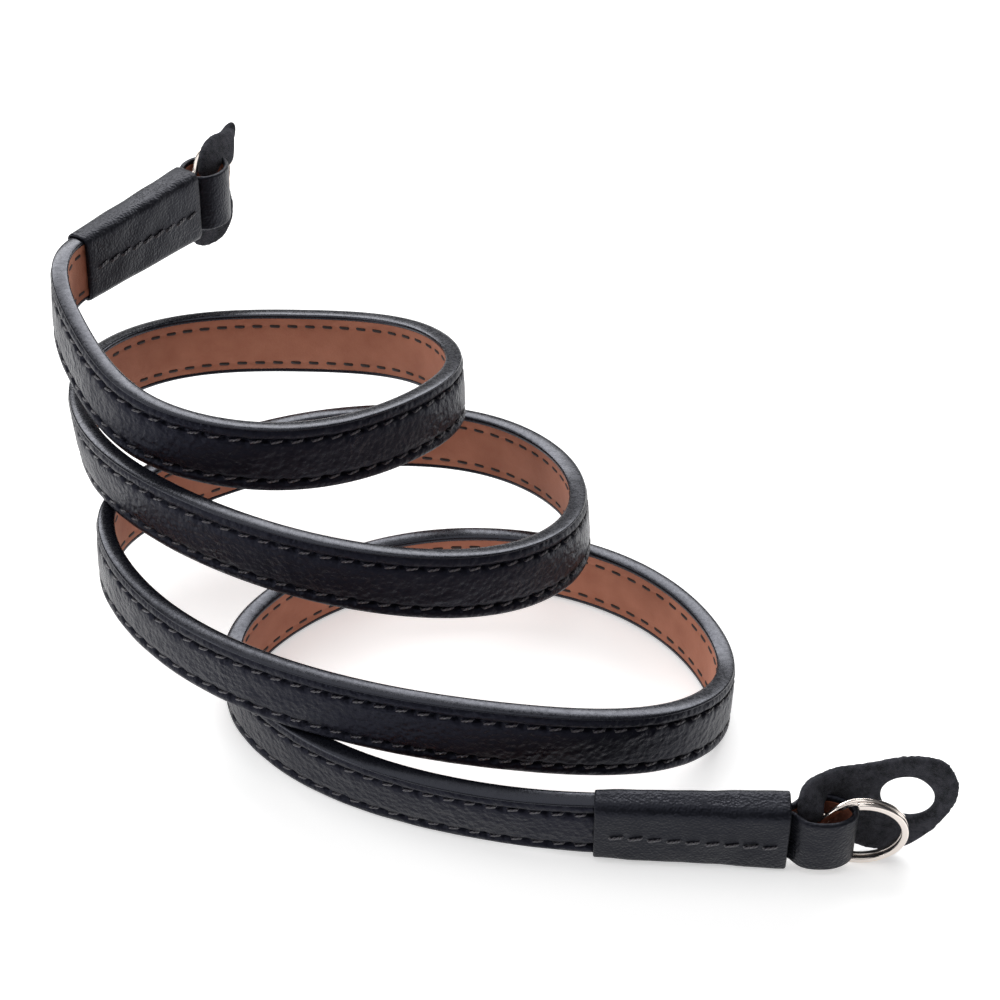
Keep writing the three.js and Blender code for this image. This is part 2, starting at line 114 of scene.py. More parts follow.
def cubic(stops, values, slopes=None):
    """The cubic spline through values[i] at stops[i], as a function of the stop.

    Its second derivatives m solve
    h[i-1] m[i-1] + 2 (h[i-1] + h[i]) m[i] + h[i] m[i+1] = 6 (r[i] - r[i-1]),
    where h is the gap between stops and r the rise over it. An end has the given slope, or m = 0.
    """
    h = np.diff(stops)[:, None]
    rise = np.diff(values, axis=0) / h
    last = len(stops) - 1
    inner = np.arange(1, last)
    system = np.eye(last + 1)
    system[inner, inner - 1] = h[:-1, 0]
    system[inner, inner] = 2 * (h[:-1, 0] + h[1:, 0])
    system[inner, inner + 1] = h[1:, 0]
    right = np.zeros_like(values)
    right[1:-1] = 6 * np.diff(rise, axis=0)
    if slopes is not None:
        system[0, :2] = 2 * h[0, 0], h[0, 0]
        system[last, -2:] = h[-1, 0], 2 * h[-1, 0]
        right[0] = 6 * (rise[0] - slopes[0])
        right[last] = 6 * (slopes[1] - rise[-1])
    m = np.linalg.solve(system, right)

    def at(stop):
        i = np.clip(np.searchsorted(stops, stop, side="right") - 1, 0, last - 1)
        b = (stop - stops[i])[:, None] / h[i]
        a = 1 - b
        curve = ((a**3 - a) * m[i] + (b**3 - b) * m[i + 1]) * h[i] ** 2 / 6
        return a * values[i] + b * values[i + 1] + curve

    return at


def turned(centre, heading, lean):
    """Centre C, heading T, rise W (up the width) and face N (out of the black side), from the lean."""
    T = unit(heading)
    out = unit(np.cross(T, UP))
    rise = np.cross(out, T)
    a = np.radians(np.asarray(lean, float)).reshape(-1, 1)
    return centre, T, np.cos(a) * rise + np.sin(a) * out, np.cos(a) * out - np.sin(a) * rise


route = dict(zip(ROUTE_COLUMNS, ROUTE.T))
route_places = np.stack([route["x"], route["y"], route["foot"] + HALF_WIDTH], -1)
route_stops = np.concatenate([[0], np.cumsum(np.linalg.norm(np.diff(route_places, axis=0), axis=1))])
route_length = route_stops[-1]
middle_line = cubic(route_stops, route_places, (-FAR_HEADING, NEAR_HEADING))
lean_line = cubic(route_stops, route["lean"][:, None])


def stations(stop):
    """The strap's frames at each stop along the route."""
    back, ahead = np.maximum(stop - 0.01, 0), np.minimum(stop + 0.01, route_length)
    return turned(middle_line(stop), middle_line(ahead) - middle_line(back), lean_line(stop))


def carried(frames, w, n):
    """C + w W + n N: the profile (w, n) carried along the frames, as points[frame, profile]."""
    centre, _, W, N = frames
    w, n = np.broadcast_arrays(w, n)
    return centre[:, None] + w[..., None] * W[:, None] + n[..., None] * N[:, None]


# %% [markdown]
# ## Where the route lies in the frame
# The frame puts its origin under the middle of the whole strap. The same sections as the frame's are
# carried along the same stations here, and their lowest corner tells how far the route has to move.

# %% Shift to the frame
STATION_STEP = 4.2
LINING_THICK = 0.9
SKIVED = 0.3
station_count = round(route_length / STATION_STEP)
cad_stops = GAP + (route_length - 2 * GAP) * np.arange(station_count + 1) / station_count
far_mouth = turned(route_places[:1], -FAR_HEADING[None], route["lean"][0])
near_mouth = turned(route_places[-1:], NEAR_HEADING[None], route["lean"][-1])


def leather_section(skived, bevel):
    """(w, n) of the frame's leather: a flat back and a face with bevelled corners, thinner by skived."""
    side, face = HALF_WIDTH - skived, HALF_THICK - skived
    back = -HALF_THICK + LINING_THICK + GAP
    w = np.array([-side, side, side, side - bevel, bevel - side, -side])
    return w, np.array([back, back, face - bevel, face, face, face - bevel])


def slid(frames, distance):
    """The same frames moved along their own heading."""
    return (frames[0] + distance * frames[1], *frames[1:])


cad_points = np.concatenate([
    carried(stations(cad_stops), *leather_section(0.0, 0.5)).reshape(-1, 3),
    carried(slid(far_mouth, -SLEEVE_REACH), *leather_section(SKIVED, 0.3)).reshape(-1, 3),
    carried(slid(near_mouth, SLEEVE_REACH), *leather_section(SKIVED, 0.3)).reshape(-1, 3),
])
leather_low, leather_high = (np.array(corner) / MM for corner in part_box("strap_leather"))
SHIFT = leather_low - cad_points.min(0)
print(f"route {route_length:.1f} mm long, shift {SHIFT.round(3)} mm,",
      f"other corner off by {np.abs(cad_points.max(0) + SHIFT - leather_high).max():.4f} mm")

# %% [markdown]
# ## Meshes from grids
# Every new piece is a grid of points that closes round its columns, such as a profile carried along a
# line. A ring or a sleeve also closes round its rows; anything else gets a flat cap at both ends.
# Each mesh keeps a UV map in millimetres where a pattern has to follow the piece.

# %% Mesh helper
made = []


def piece(name, points, material, replaces=(), uv=None, ring=False):
    """An object from points[grid, row, column] in mm; ring closes the rows too. Faces look outwards."""
    if points.ndim == 3:
        points = points[None]
    grids, rows, columns = points.shape[:3]
    index = np.arange(grids * rows * columns).reshape(grids, rows, columns)
    wrapped = np.concatenate([index, index[:, :, :1]], 2)
    if ring:
        wrapped = np.concatenate([wrapped, wrapped[:, :1]], 1)
    corners = (wrapped[:, :-1, :-1], wrapped[:, :-1, 1:], wrapped[:, 1:, 1:], wrapped[:, 1:, :-1])
    quads = np.stack(corners, -1).reshape(-1, 4)
    flat = points.reshape(-1, 3)
    centre = points.mean((1, 2)).repeat(rows * columns, 0)
    a, b, c = ((flat - centre)[quads[:, k]] for k in (0, 1, 2))
    turn = 1 if np.einsum("ij,ij->", a, np.cross(b, c)) > 0 else -1
    faces = quads[:, ::turn].tolist()
    if not ring:
        faces += index[:, 0, ::-turn].tolist() + index[:, -1, ::turn].tolist()
    mesh = bpy.data.meshes.new(name)
    mesh.from_pydata((flat + SHIFT) * MM, [], faces)
    if uv is not None:
        grid = np.broadcast_to(uv, (grids, rows + ring, columns + 1, 2))
        parts = (grid[:, :-1, :-1], grid[:, :-1, 1:], grid[:, 1:, 1:], grid[:, 1:, :-1])
        loops = np.stack(parts, -2).reshape(-1, 4, 2)[:, ::turn].reshape(-1, 2)
        values = np.zeros((len(mesh.loops), 2), np.float32)
        values[: len(loops)] = loops
        mesh.uv_layers.new(name="mm").data.foreach_set("uv", values.ravel())
    mesh.shade_smooth()
    mesh.materials.append(material)
    made_object = bpy.data.objects.new(name, mesh)
    bpy.context.scene.collection.objects.link(made_object)
    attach(made_object, "root")
    if replaces:
        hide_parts(*replaces)
    made.append(made_object)
    print(f"{name}: {len(quads) * 2} triangles")
    return made_object


def profile_uv(along, around):
    """A UV grid in mm: u along the piece, v round its profile, with the first column again at the end."""
    span = np.concatenate([[0], np.cumsum(around)])
    return np.stack(np.meshgrid(along, span, indexing="ij"), -1)


def rounded(half_width, half_thick, corner, crown=0.0, corner_points=5, wide_points=11, thin_points=3):
    """A rounded rectangle in (across, out), anticlockwise from the right. crown lifts its wide faces.

    Each point is (fy (a - r) + r cy, fz (b - r) + r cz): on a straight side f runs from 1 to -1, and in
    a corner (cy, cz) turns through a quarter circle. half sizes may hold a value for each row.
    """
    a, b = (np.asarray(v, float).reshape(-1, 1) for v in (half_width, half_thick))
    r = np.minimum(corner, np.minimum(a, b) * 0.999)
    wide = np.linspace(1, -1, wide_points)
    thin = np.linspace(1, -1, thin_points)
    sides = []
    for side, (run, still) in enumerate(((thin, 1), (wide, 1), (thin, -1), (wide, -1))):
        start = math.radians(90 * side)
        ones = np.ones_like(run)
        if side % 2:
            sides.append((still * run, still * ones, 0 * ones, still * ones))
        else:
            sides.append((still * ones, -still * run, still * ones, 0 * ones))
        angle = start + np.radians(np.linspace(0, 90, corner_points + 2)[1:-1])
        fy = (1, -1, -1, 1)[side]
        fz = (1, 1, -1, -1)[side]
        sides.append((fy + 0 * angle, fz + 0 * angle, np.cos(angle), np.sin(angle)))
    fy, fz, cy, cz = (np.concatenate([s[k] for s in sides]) for k in range(4))
    across = fy * (a - r) + r * cy
    out = fz * (b - r) + r * cz
    return across, out + np.sign(out) * crown * np.clip(1 - (across / a) ** 2, 0, 1)


def ripple(*coordinates, size, seed=0):
    """Smooth unevenness between about -1 and 1: a sum of sines in incommensurate directions."""
    total = 0
    for k in range(6):
        start = 12.9898 * (k + 1) + seed
        weights = [math.sin(start + 78.233 * (axis + 1)) for axis in range(len(coordinates))]
        phase = sum(w * c for w, c in zip(weights, coordinates)) * (2 * math.pi / size) * (1 + 0.37 * k)
        total = total + np.sin(phase + 1.7 * k + seed) / 6
    return total * 1.6


# %% [markdown]
# ## Finishes
# Nine finishes cover the strap. Each one is a small set of nodes: a colour that varies a little, a
# roughness, and a relief whose sizes are the real ones in millimetres.

# %% Colour and node helpers
def linear(text):
    """sRGB hex to linear: c / 12.92 below 0.04045, else ((c + 0.055) / 1.055) ** 2.4."""
    c = np.array([int(text[k:k + 2], 16) for k in (1, 3, 5)]) / 255
    return (*np.where(c <= 0.04045, c / 12.92, ((c + 0.055) / 1.055) ** 2.4).tolist(), 1.0)


def add(material, kind, inputs=None, **settings):
    """Adds a node. settings are its properties; inputs are numbers or another node's output, by socket."""
    tree = material.node_tree
    new = tree.nodes.new(kind)
    for key, value in settings.items():
        setattr(new, key, value)
    for key, value in (inputs or {}).items():
        if isinstance(value, bpy.types.NodeSocket):
            tree.links.new(value, new.inputs[key])
        else:
            new.inputs[key].default_value = value
    return new


def finish(name, colour, roughness, specular=0.5, tint="#ffffff", **sockets):
    """A material with its Principled shader set to plain numbers. Returns both."""
    material = bpy.data.materials.new(name)
    material.use_nodes = True
    shader = material.node_tree.nodes["Principled BSDF"]
    values = {"Base Color": linear(colour), "Roughness": roughness}
    values.update({"Specular IOR Level": specular, "Specular Tint": linear(tint)})
    for key, value in {**values, **sockets}.items():
        shader.inputs[key].default_value = value
    material.diffuse_color = linear(colour)
    return material, shader


def millimetres(material):
    """Object coordinates in millimetres."""
    place = add(material, "ShaderNodeTexCoord").outputs["Object"]
    scale = add(material, "ShaderNodeVectorMath", {0: place, "Scale": 1 / MM}, operation="SCALE")
    return scale.outputs["Vector"]


def noise(material, vector, size, detail=3.0, roughness=0.5):
    """Noise whose largest lumps are about size mm."""
    inputs = {"Vector": vector, "Scale": 1 / size, "Detail": detail, "Roughness": roughness}
    return add(material, "ShaderNodeTexNoise", inputs).outputs["Fac"]


def between(material, factor, low, high, start=0.3, end=0.7):
    """Maps a factor from start..end to low..high."""
    inputs = {"Value": factor, "From Min": start, "From Max": end, "To Min": low, "To Max": high}
    return add(material, "ShaderNodeMapRange", inputs).outputs["Result"]


def blend_colours(material, factor, first, second):
    """A mix of two sRGB colours."""
    mix = add(material, "ShaderNodeMix", {"Factor": factor}, data_type="RGBA")
    mix.inputs[6].default_value = linear(first)
    mix.inputs[7].default_value = linear(second)
    return mix.outputs[2]


def relief(material, shader, *layers):
    """Stacks bumps on the shader's normal. A layer is (height, depth in mm, strength)."""
    normal = None
    for height, depth, strength in layers:
        inputs = {"Height": height, "Distance": depth * MM, "Strength": strength}
        if normal is not None:
            inputs["Normal"] = normal
        normal = add(material, "ShaderNodeBump", inputs).outputs["Normal"]
    material.node_tree.links.new(normal, shader.inputs["Normal"])


def drive(material, shader, socket, value):
    """Links a node's output to one of the shader's sockets."""
    material.node_tree.links.new(value, shader.inputs[socket])


# %% [markdown]
# ### Black waxed leather
# The strap's face is vegetable-tanned leather, dyed black and waxed. Fine pebbles about 1 mm across
# with hair-thin valleys break the reflection up, longer creases run through them, and rubbed places
# are a little shinier.

# %% Black waxed leather
face_leather, shader = finish("black waxed leather", "#101018", 0.4, 0.24, "#c2c7e6")
mm = millimetres(face_leather)
pebbles = add(face_leather, "ShaderNodeTexVoronoi", {"Vector": mm, "Scale": 1 / 0.95, "Randomness": 0.9},
              feature="SMOOTH_F1").outputs["Distance"]
creases = noise(face_leather, mm, 4.0, detail=6.0, roughness=0.65)
rubbed = noise(face_leather, mm, 9.0, detail=2.0)
drive(face_leather, shader, "Roughness", between(face_leather, rubbed, 0.27, 0.45))
drive(face_leather, shader, "Base Color", blend_colours(face_leather, rubbed, "#0b0b12", "#14141c"))
relief(face_leather, shader, (creases, 0.8, 0.9), (pebbles, 0.3, 0.9))
print("face leather: pebbles 0.95 mm, creases 4 mm")

# %% [markdown]
# ### Tan lining
# Undyed goatskin with the grain side out: warm brown, nearly matte, with soft blotches and fine pores.

# %% Tan lining
lining_leather, shader = finish("tan lining leather", "#a5705a", 0.72, 0.3)
mm = millimetres(lining_leather)
blotches = noise(lining_leather, mm, 6.0, detail=4.0)
pores = noise(lining_leather, mm, 0.55, detail=4.0, roughness=0.7)
drive(lining_leather, shader, "Base Color", blend_colours(lining_leather, blotches, "#905741", "#bb8068"))
relief(lining_leather, shader, (blotches, 0.2, 0.4), (pores, 0.14, 0.7))

# %% [markdown]
# ### Edge paint
# Both cut edges are sealed with several coats of black edge paint. It is the shiniest leather finish:
# a smooth, slightly wavy film that mirrors the light above as a long pale band.

# %% Edge paint
edge_paint, shader = finish("black edge paint", "#0b0c12", 0.3, 0.5, "#dde1f4")
mm = millimetres(edge_paint)
waves = noise(edge_paint, mm, 5.0, detail=3.0)
specks = noise(edge_paint, mm, 0.6, detail=3.0)
drive(edge_paint, shader, "Roughness", between(edge_paint, specks, 0.2, 0.34))
relief(edge_paint, shader, (waves, 0.25, 0.35), (specks, 0.02, 0.3))

# %% [markdown]
# ### Waxed thread
# Black polyester thread with a wax coat. Two plies twist round each other, which shows as slanted
# bands of relief across each stitch, and the lighter grey bands in its colour are painted highlights
# on the ply crests. On the lining the needle pulls it flat, and it looks like a dark dash.

# %% Waxed thread
thread, shader = finish("black waxed thread", "#2a2830", 0.32, 0.8)
uv = add(thread, "ShaderNodeUVMap", uv_map="mm").outputs["UV"]
plies = add(thread, "ShaderNodeTexWave", {"Vector": uv, "Scale": 0.8, "Distortion": 1.0},
            wave_type="BANDS", bands_direction="DIAGONAL").outputs["Fac"]
# painted highlight: the ply bands lighten the black thread's colour to grey
drive(thread, shader, "Base Color", blend_colours(thread, plies, "#121118", "#4a464f"))
relief(thread, shader, (plies, 0.16, 0.9))
lining_thread, shader = finish("dark thread on the lining", "#231714", 0.6)
uv = add(lining_thread, "ShaderNodeUVMap", uv_map="mm").outputs["UV"]
plies = add(lining_thread, "ShaderNodeTexWave", {"Vector": uv, "Scale": 0.42}, wave_type="BANDS",
            bands_direction="DIAGONAL").outputs["Fac"]
relief(lining_thread, shader, (plies, 0.06, 0.5))

# %% [markdown]
# ### Sleeve and loop leather
# The sleeves and end loops are cut from a smoother black leather, with a very fine grain and soft
# dents. Where a loop shows its inside, the leather's flesh side is bare: matt tan fibres.

# %% Sleeve and loop leather
sleeve_leather, shader = finish("smooth black leather", "#101118", 0.5, 0.3, "#ccd0e8")
mm = millimetres(sleeve_leather)
grain = add(sleeve_leather, "ShaderNodeTexVoronoi", {"Vector": mm, "Scale": 1 / 0.42},
            feature="SMOOTH_F1").outputs["Distance"]
dents = noise(sleeve_leather, mm, 5.5, detail=4.0, roughness=0.6)
drive(sleeve_leather, shader, "Roughness", between(sleeve_leather, dents, 0.34, 0.5))
drive(sleeve_leather, shader, "Base Color", blend_colours(sleeve_leather, dents, "#06070b", "#0f1015"))
relief(sleeve_leather, shader, (dents, 0.5, 0.7), (grain, 0.13, 0.9))
flesh_leather, shader = finish("tan flesh side", "#8a5238", 0.9)
mm = millimetres(flesh_leather)
fibres = noise(flesh_leather, mm, 0.5, detail=6.0, roughness=0.7)
drive(flesh_leather, shader, "Base Color", blend_colours(flesh_leather, fibres, "#5a3020", "#96583e"))
relief(flesh_leather, shader, (fibres, 0.2, 0.8))

# %% [markdown]
# ### Black suede
# The tabs are split leather with a raised nap. It scatters light in all directions, shows darker and
# lighter patches where the fibres lie differently, and has a soft sheen at grazing angles.

# %% Black suede
SHEEN = {"Sheen Weight": 0.55, "Sheen Roughness": 0.5, "Sheen Tint": linear("#8c8e96")}
suede, shader = finish("black napped suede", "#16171b", 1.0, 0.1, **SHEEN)
mm = millimetres(suede)
nap = noise(suede, mm, 0.5, detail=8.0, roughness=0.9)
patches = noise(suede, mm, 2.2, detail=6.0, roughness=0.7)
both = add(suede, "ShaderNodeMath", {0: patches, 1: nap}, operation="ADD").outputs["Value"]
lay = between(suede, both, 0.0, 1.0, start=0.86, end=1.14)
drive(suede, shader, "Base Color", blend_colours(suede, lay, "#090a0e", "#47474f"))
relief(suede, shader, (patches, 0.9, 1.0), (nap, 0.8, 1.0))

# %% [markdown]
# ### Bright nickel
# The split rings are nickel-plated spring steel: a clear mirror with a faint warm tone and fine
# handling marks that only show as a slightly uneven gloss.

# %% Bright nickel
nickel, shader = finish("bright nickel plating", "#e6ddd6", 0.14, Metallic=1.0)
mm = millimetres(nickel)
marks = noise(nickel, mm, 1.2, detail=6.0, roughness=0.7)
drive(nickel, shader, "Roughness", between(nickel, marks, 0.09, 0.24))
relief(nickel, shader, (marks, 0.02, 0.3))
print("nickel: roughness 0.09 to 0.24")

# %% [markdown]
# ## The strap's black face
# The face leather is padded a little between its two rows of stitches and pinched down where they run,
# so its profile is a low dome, a groove on each side with a deeper dimple at every needle hole, and a
# rounded lip out to the edge. The profile is carried along the route with seven stations a stitch.

# %% Black face
PITCH = 3.5
ROW = 3.83
ROW_SHIFT = -0.22  # both rows sit a little nearer to the lower edge
STATIONS_PER_STITCH = 7
INTO_SLEEVE = 8.0
ROW_BAND = np.linspace(-0.55, 0.55, 8)  # the profile's points across one row of stitches

fine_stops = np.linspace(0, route_length, 4001)
fine_steps = np.linalg.norm(np.diff(middle_line(fine_stops), axis=0), axis=1)
fine_arc = np.concatenate([[0], np.cumsum(fine_steps)])
strap_length = fine_arc[-1] - 2 * GAP
stitch_count = int(strap_length / PITCH)
pitch = strap_length / stitch_count
arc = np.linspace(GAP, fine_arc[-1] - GAP, stitch_count * STATIONS_PER_STITCH + 1)
free_frames = stations(np.interp(arc, fine_arc, fine_stops))
stretches = (slid(far_mouth, -INTO_SLEEVE), free_frames, slid(near_mouth, INTO_SLEEVE))
strap_frames = tuple(np.concatenate(parts) for parts in zip(*stretches))
arc = np.concatenate([[arc[0] - INTO_SLEEVE], arc, [arc[-1] + INTO_SLEEVE]])


def face_height(w, s):
    """n(w, s): dome 1.58 - 0.2 (w/ROW)^4, lip 1.5 - 0.45 (|w| - 5)^2 outside the row, less the groove
    and the dimples, which are Gaussian across the row and, for the dimples, along it."""
    a = np.abs(w - ROW_SHIFT)
    dome = 1.58 - 0.2 * (a / ROW) ** 4
    lip = 1.5 - 0.45 * (a - 5.0) ** 2
    edge = np.clip((a - ROW) / 0.5, 0, 1)
    phase = (s - GAP) / pitch
    hole = np.exp(-((phase - np.round(phase)) * pitch / 0.6) ** 2)
    groove = 0.22 * np.exp(-((a - ROW) / 0.4) ** 2) + 0.95 * hole * np.exp(-((a - ROW) / 0.42) ** 2)
    uneven = 0.045 * ripple(s, 2.2 * w, size=17, seed=3)
    return dome * (1 - edge) + lip * edge - groove + uneven


lower_row, upper_row = ROW_BAND - ROW + ROW_SHIFT, ROW_BAND + ROW + ROW_SHIFT
face_w = np.concatenate([
    np.linspace(-5.85, -4.9, 4), lower_row, np.linspace(-3.0, 2.6, 8),
    upper_row, np.linspace(4.5, 5.85, 5),
])
face_n = face_height(face_w[None], arc[:, None])
ones = np.ones((len(arc), 1))
side_w = np.array([6.0, 6.04, 5.9, 0.0, -5.9, -6.04, -6.0])
side_n = np.array([0.95, 0.3, -0.38, -0.38, -0.38, 0.3, 0.95])
leather_w = np.concatenate([face_w * ones, side_w * ones], 1)
leather_n = np.concatenate([face_n, side_n * ones], 1)
piece("strap_outer_leather", carried(strap_frames, leather_w, leather_n), face_leather,
      replaces=["strap_leather"])
print(f"strap {strap_length:.1f} mm, {stitch_count} stitches a row, {pitch:.3f} mm apart")

# %% [markdown]
# ## The tan lining
# The lining is glued and sewn to the back. It is flat, with a shallow furrow where the stitches pull
# it in, and its own edges lie under the edge paint.

# %% Lining
lining_w = np.concatenate([[-5.75, -5.3, -4.8], lower_row, [-2.4, 0, 2.2], upper_row, [4.5, 5.1, 5.75]])


def lining_height(w, s):
    """n = -1.57 + 0.13 exp(-((|w| - ROW) / 0.45)^2), and slightly uneven."""
    furrow = 0.13 * np.exp(-((np.abs(w - ROW_SHIFT) - ROW) / 0.45) ** 2)
    return -1.57 + furrow + 0.02 * ripple(s, 2 * w, size=14, seed=8)


lining_face = lining_height(lining_w[None], arc[:, None])
back_w = np.array([5.75, 0.0, -5.75])
w = np.concatenate([lining_w * ones, back_w * ones], 1)
n = np.concatenate([lining_face, -0.45 + 0 * back_w * ones], 1)
piece("strap_tan_lining", carried(strap_frames, w, n), lining_leather,
      replaces=["strap_lining"])

# %% [markdown]
# ## Painted edges
# The paint covers both leathers' cut edges and laps over each face. It is built up in coats and
# polished, so the band is nearly flat with soft corners, and it stands out a little past the leather.

# %% Painted edges
PAINT_SECTION = np.array([  # w, n: over the lining, round the edge, over the face, and back inside
    (5.25, -1.57), (5.4, -1.66), (5.7, -1.69), (5.9, -1.63), (6.02, -1.45), (6.1, -1.1),
    (6.155, -0.5), (6.16, 0.05), (6.12, 0.6), (6.04, 1.0), (5.93, 1.24), (5.78, 1.3),
    (5.72, 1.2), (5.85, 0.6), (5.85, -1.2), (5.5, -1.45),
])
paint_w, paint_n = PAINT_SECTION.T
for name, side in (("upper", 1), ("lower", -1)):
    swell = 1 + 0.05 * ripple(arc, size=23, seed=5 + side)[:, None]
    w = side * (6.0 + (paint_w - 6.0) * np.where(paint_w > 6.0, swell, 1))
    n = paint_n * np.ones_like(w)
    piece(f"edge_paint_{name}", carried(strap_frames, w, n), edge_paint)

# %% [markdown]
# ## Stitches
# Each stitch is one short length of thread that rises out of a hole, lies slanted over the leather and
# dives into the next one. One grid holds a stitch, and all the stitches of a side are one mesh.

# %% Stitches
STITCH = {  # length, width, height, slant, dive
    "face": (2.3, 0.44, 0.44, 0.3, 0.6),
    "lining": (2.35, 0.6, 0.3, 0.05, 0.3),
    "sleeve": (2.75, 0.5, 0.46, 0.34, 0.5),
}


def stitches(name, kind, centres, frames, material, rows=9):
    """Tubes along x in [-1, 1]: centre + x length/2 along + x slant across - dive x^6 out.

    frames holds the directions along, across and out of each stitch. The tube's radii shrink towards
    its ends as sqrt(1 - 0.75 x^8).
    """
    length, width, height, slant, dive = STITCH[kind]
    along, across, out = frames
    x = np.linspace(-1, 1, rows)
    angle = np.radians(np.arange(0, 360, 45))
    shrink = np.sqrt(1 - 0.75 * x**8)
    line = (centres[:, None] + (x * length / 2)[None, :, None] * along[:, None]
            + (x * slant)[None, :, None] * across[:, None] - (dive * x**6)[None, :, None] * out[:, None])
    ring = (np.cos(angle) * width / 2)[None, None, :, None] * across[:, None, None]
    ring = ring + (np.sin(angle) * height / 2)[None, None, :, None] * out[:, None, None]
    points = line[:, :, None] + shrink[None, :, None, None] * ring
    uv = profile_uv(x * length / 2, np.full(8, math.pi * width / 8))
    return piece(name, points, material, uv=uv)


middles = np.interp(GAP + pitch * (np.arange(stitch_count) + 0.5), fine_arc, fine_stops)
centre, T, W, N = stations(middles)
rows_w = [side * ROW + ROW_SHIFT for side in (1, -1)]
face_rows = np.concatenate([centre + w * W + 1.34 * N for w in rows_w])
face_frames = [np.concatenate([v, v]) for v in (T, W, N)]
stitches("face_stitches", "face", face_rows, face_frames, thread)
lining_rows = np.concatenate([centre + w * W - 1.52 * N for w in rows_w])
lining_frames = [np.concatenate([v, v]) for v in (T, W, -N)]
stitches("lining_stitches", "lining", lining_rows, lining_frames, lining_thread, rows=7)

# %% [markdown]
# ## The ends
# Both ends have the same parts, in axes of their own: a along the strap and away from it, b up its
# width and c across it, with the origin in the middle of the sleeve's outer end.

# %% End axes
ENDS = {}
for name, mouth, outside in (("near", near_mouth, 1), ("far", far_mouth, -1)):
    centre, T, W, N = (v[0] for v in mouth)
    axes = np.array([T * outside, W, N * outside])
    ENDS[name] = {"origin": centre + axes[0] * SLEEVE_LENGTH, "axes": axes, "outside": outside}


def placed(end, a, b, c):
    """The point a away + b up + c across from the end's origin."""
    a, b, c = np.broadcast_arrays(a, b, c)
    return ENDS[end]["origin"] + np.stack([a, b, c], -1) @ ENDS[end]["axes"]


# %% [markdown]
# ## Sleeves
# A sleeve is one piece of leather folded round the strap and the tails of the end loop and sewn shut.
# It widens a little towards the ring. Both mouths show the cut edge, slightly rounded by burnishing.

# %% Sleeves
SLEEVE_STITCHES = 9


def sleeve_grid(end):
    """A tube closed round both ways: the outer wall to the end, the lip, and the slot's wall back."""
    share = np.linspace(0, 1, 25)
    lip = np.radians(np.linspace(0, 180, 7))[1:-1]
    x = np.concatenate([-SLEEVE_LENGTH + 0.35 + share * (SLEEVE_LENGTH - 0.7),
                        -0.35 + 0.35 * np.sin(lip),
                        -0.35 - share * (SLEEVE_LENGTH - 0.7),
                        -SLEEVE_LENGTH + 0.35 - 0.35 * np.sin(lip)])
    out = np.concatenate([np.ones(25), (1 + np.cos(lip)) / 2, np.zeros(25), (1 - np.cos(lip)) / 2])
    taper = (x + SLEEVE_LENGTH) / SLEEVE_LENGTH
    wide = out * (6.7 + 0.6 * taper) + (1 - out) * 6.12
    thick = out * (2.45 + 0.6 * taper) + (1 - out) * 1.62
    across, depth = rounded(wide, thick, (0.4 + 1.3 * out)[:, None], 0.0, 6, 13, 5)
    hump = 0.12 * ripple(x[:, None], across, size=15, seed=2 if end == "near" else 4) * out[:, None]
    crown = 0.22 * out[:, None] * np.clip(1 - (across / wide[:, None]) ** 2, 0, 1)
    return placed(end, x[:, None], across, depth + np.sign(depth) * (crown + hump * (np.abs(depth) > 1.7)))


for end in ENDS:
    piece(f"leather_sleeve_{end}", sleeve_grid(end), sleeve_leather,
          replaces=[f"sleeve_{end}"], ring=True)
    a = np.linspace(-27.4, -2.9, SLEEVE_STITCHES)
    b = np.linspace(0.1, -0.5, SLEEVE_STITCHES)
    c = 2.45 + 0.6 * (a + SLEEVE_LENGTH) / SLEEVE_LENGTH + 0.4
    frames = [np.tile(axis, (SLEEVE_STITCHES, 1)) for axis in ENDS[end]["axes"]]
    stitches(f"sleeve_stitches_{end}", "sleeve", placed(end, a, b, c), frames, thread)

# %% [markdown]
# ## End loops
# A strip of leather is folded round the split ring, black outside and tan flesh inside. Its two layers
# are swept along the same folded line: the black one is thicker, and its painted rims are rounded.

# %% End loops
LOOP_FOLD = np.array([  # along, across, and how far the far loop bulges from that
    (-14, 0.72, 0), (-4, 0.72, 0), (0.3, 0.78, 0), (2.2, 2.4, 0.6), (5, 2.95, 1.2), (8.3, 2.3, 0.9),
    (10.2, 0.1, 0.3), (8.3, -2.2, -0.5), (5, -2.95, -0.8), (2.2, -2.4, -0.4), (0.3, -0.78, 0),
    (-4, -0.72, 0), (-14, -0.72, 0),
])
LOOP_LOW, LOOP_HIGH = -5.8, 5.6
LAYERS = {  # offset out of the fold, half thickness, inset at the rims, finish
    "outer": (-0.1, 0.5, 0.0, sleeve_leather),
    "inner": (-0.58, 0.14, 0.9, flesh_leather),
}


def loop_layer(end, offset, half_thick, inset):
    """A rounded strip swept along the fold, pushed out by offset and inset at the rims."""
    fold = LOOP_FOLD[:, :2] + LOOP_FOLD[:, 2:] * (0, 1.0 if end == "far" else 0.0)
    stops = np.concatenate([[0], np.cumsum(np.linalg.norm(np.diff(fold, axis=0), axis=1) ** 0.5)])
    line = cubic(stops, fold)
    s = np.linspace(0, stops[-1], 121)
    place = line(s)
    heading = unit(line(np.minimum(s + 0.01, stops[-1])) - line(np.maximum(s - 0.01, 0)))
    side = np.stack([-heading[:, 1], heading[:, 0]], -1)
    middle, half = (LOOP_LOW + LOOP_HIGH) / 2, (LOOP_HIGH - LOOP_LOW) / 2 - inset
    b, out = rounded(half, half_thick, half_thick * 0.95, 0.0, 4, 15, 3)
    out = out + offset + 0.16
    flat = place[:, None] + out[..., None] * side[:, None]
    return placed(end, flat[..., 0], middle + b + 0 * out, ENDS[end]["outside"] * flat[..., 1])


